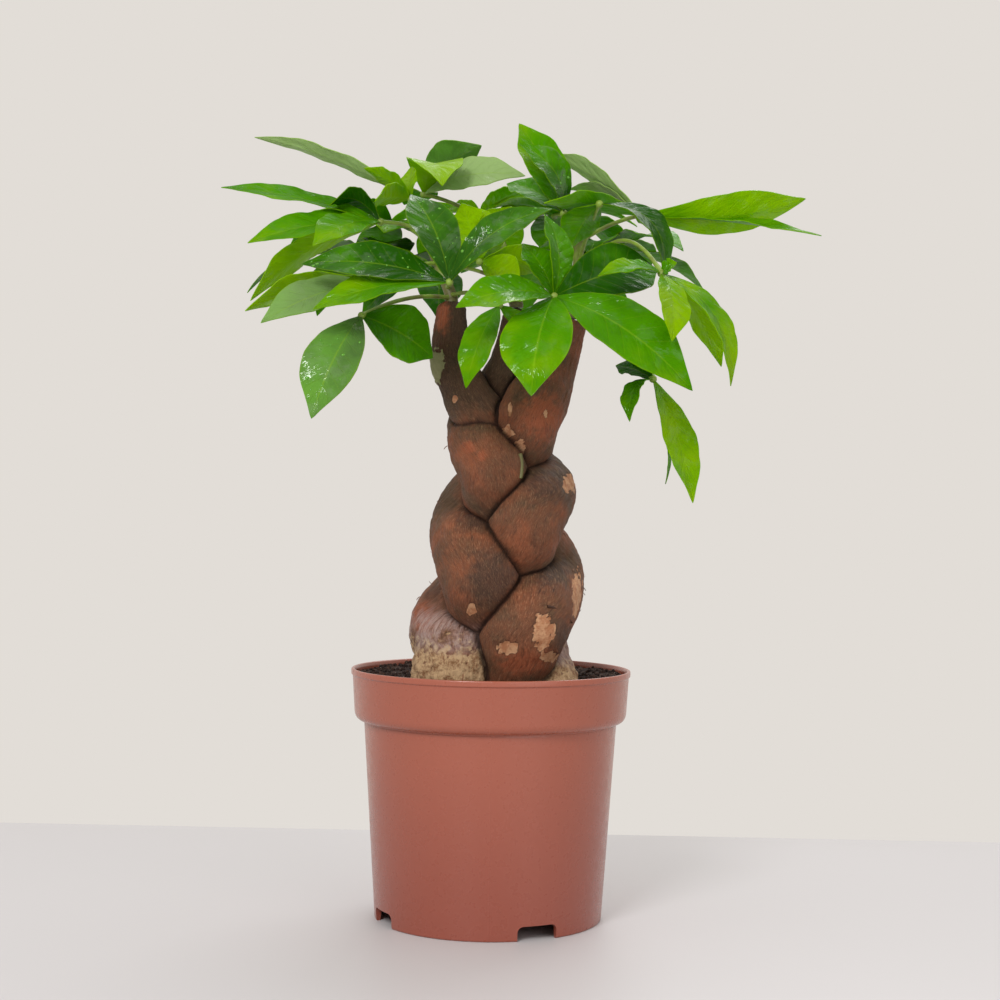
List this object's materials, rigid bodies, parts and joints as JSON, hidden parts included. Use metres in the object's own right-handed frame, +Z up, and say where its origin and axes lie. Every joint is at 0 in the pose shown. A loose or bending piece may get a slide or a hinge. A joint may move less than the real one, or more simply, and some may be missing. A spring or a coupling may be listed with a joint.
{
  "type": "potted money tree",
  "caption": "House plant with a braided woody trunk and palmate leaves, standing in a plain plastic nursery pot filled with soil.",
  "frame": {"origin": "middle of the pot's foot, on the surface that it stands on", "axes": "+Z up along the pot's axis, -Y towards the front, +X to the right seen from the front"},
  "size_m": [0.3171, 0.263, 0.4233],
  "materials": {
    "pot_plastic": "terracotta brown moulded plastic, satin",
    "soil": "dark crumbly potting soil, dull",
    "bark": "reddish brown fibrous bark, dull",
    "green_stem": "young green stem, satin",
    "leaf": "glossy green leaf with a pale rib"
  },
  "bodies": {
    "root": {"pot": "pot_plastic", "soil": "soil", "trunk_left": "bark", "trunk_centre": "bark", "trunk_right": "bark", "shoot_left": "green_stem", "shoot_centre": "green_stem", "shoot_right": "green_stem", "leaf_front_right": "leaf", "leaf_front_left": "leaf", "leaf_middle": "leaf", "leaf_right_high": "leaf", "leaf_upright": "leaf", "leaf_left_high": "leaf", "leaf_left_tip": "leaf", "leaf_top_centre": "leaf", "leaf_right_arch": "leaf", "leaf_right_low": "leaf", "leaf_right_hanging": "leaf", "leaf_left_low": "leaf", "leaf_left_mid": "leaf", "leaf_centre_back": "leaf", "leaf_back_1": "leaf", "leaf_back_2": "leaf", "leaf_back_3": "leaf", "leaf_back_4": "leaf", "leaf_back_5": "leaf", "leaf_back_6": "leaf", "leaf_back_7": "leaf"}
  },
  "joints": []
}
